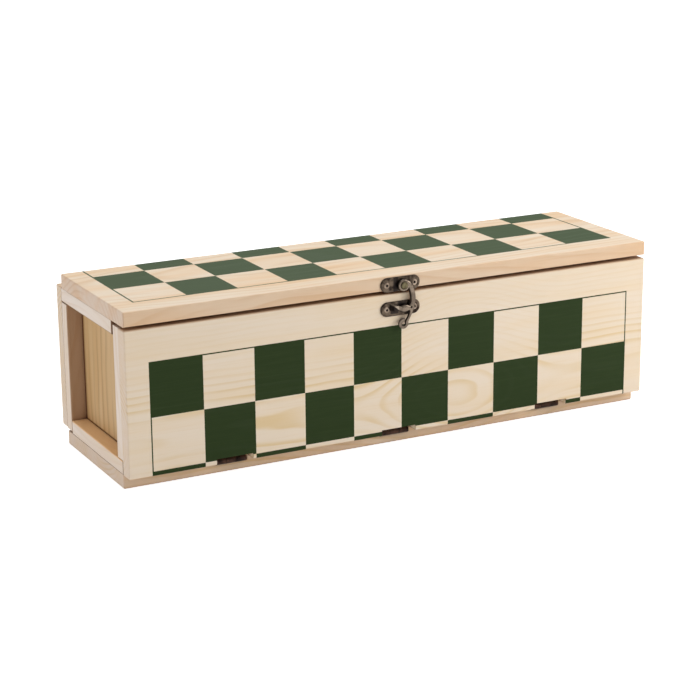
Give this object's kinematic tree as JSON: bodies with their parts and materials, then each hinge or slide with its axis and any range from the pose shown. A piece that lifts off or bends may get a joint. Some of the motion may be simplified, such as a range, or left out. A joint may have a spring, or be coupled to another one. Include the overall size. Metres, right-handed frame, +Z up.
{
  "type": "folding draughts box",
  "caption": "Hinged pine game box that unfolds into a flat checkered draughts board, with a swing-hook latch, slotted end panels and stacks of draughtsmen inside.",
  "frame": {"origin": "centre of the bottom board's underside, which the closed box stands on", "axes": "+X along the box to the right seen from the latch, +Y from the latch side to the back, +Z up"},
  "size_m": [0.3594, 0.1175, 0.1095],
  "materials": {
    "printed_pine": "satin",
    "pine": "satin",
    "panel_pine": "satin",
    "light_disc": "satin",
    "dark_disc": "satin",
    "hinge_bronze": "satin",
    "latch_bronze": "satin",
    "screw_bronze": "satin"
  },
  "bodies": {
    "base": {"bottom_board": "printed_pine", "bottom_rail_left": "pine", "bottom_rail_right": "pine", "end_panel_left": "panel_pine", "end_panel_right": "panel_pine", "base_front_hinge_leaves": "hinge_bronze", "base_back_hinge_leaves": "hinge_bronze", "light_draughtsmen": "light_disc", "dark_draughtsmen": "dark_disc"},
    "front": {"front_board": "printed_pine", "front_stile_left": "pine", "front_stile_right": "pine", "front_hinge_leaves": "hinge_bronze", "front_hinge_pins": "hinge_bronze", "catch_plate": "latch_bronze", "catch_screws": "screw_bronze"},
    "back": {"back_board": "printed_pine", "back_stile_left": "pine", "back_stile_right": "pine", "back_hinge_leaves": "hinge_bronze", "back_hinge_pins": "hinge_bronze", "back_top_hinge_leaves": "hinge_bronze", "lid_hinge_pins": "hinge_bronze"},
    "lid": {"lid_board": "printed_pine", "lid_rail_left": "pine", "lid_rail_right": "pine", "lid_hinge_leaves": "hinge_bronze", "latch_plate": "latch_bronze", "latch_rivet": "latch_bronze", "latch_screws": "screw_bronze"},
    "latch": {"latch_arm": "latch_bronze"}
  },
  "joints": [
    {"name": "front_fold", "type": "hinge", "parent": "base", "child": "front", "pos_m": [0, -0.0487, 0.0078], "axis": [1, 0, 0], "range_deg": [0, 90]},
    {"name": "back_fold", "type": "hinge", "parent": "base", "child": "back", "pos_m": [0, 0.0487, 0.0078], "axis": [-1, 0, 0], "range_deg": [0, 90]},
    {"name": "lid_fold", "type": "hinge", "parent": "back", "child": "lid", "pos_m": [0, 0.0487, 0.1017], "axis": [-1, 0, 0], "range_deg": [0, 90]},
    {"name": "latch_swing", "type": "hinge", "parent": "lid", "child": "latch", "pos_m": [0.0008, -0.0565, 0.1035], "axis": [0, -1, 0], "range_deg": [0, 100]}
  ]
}
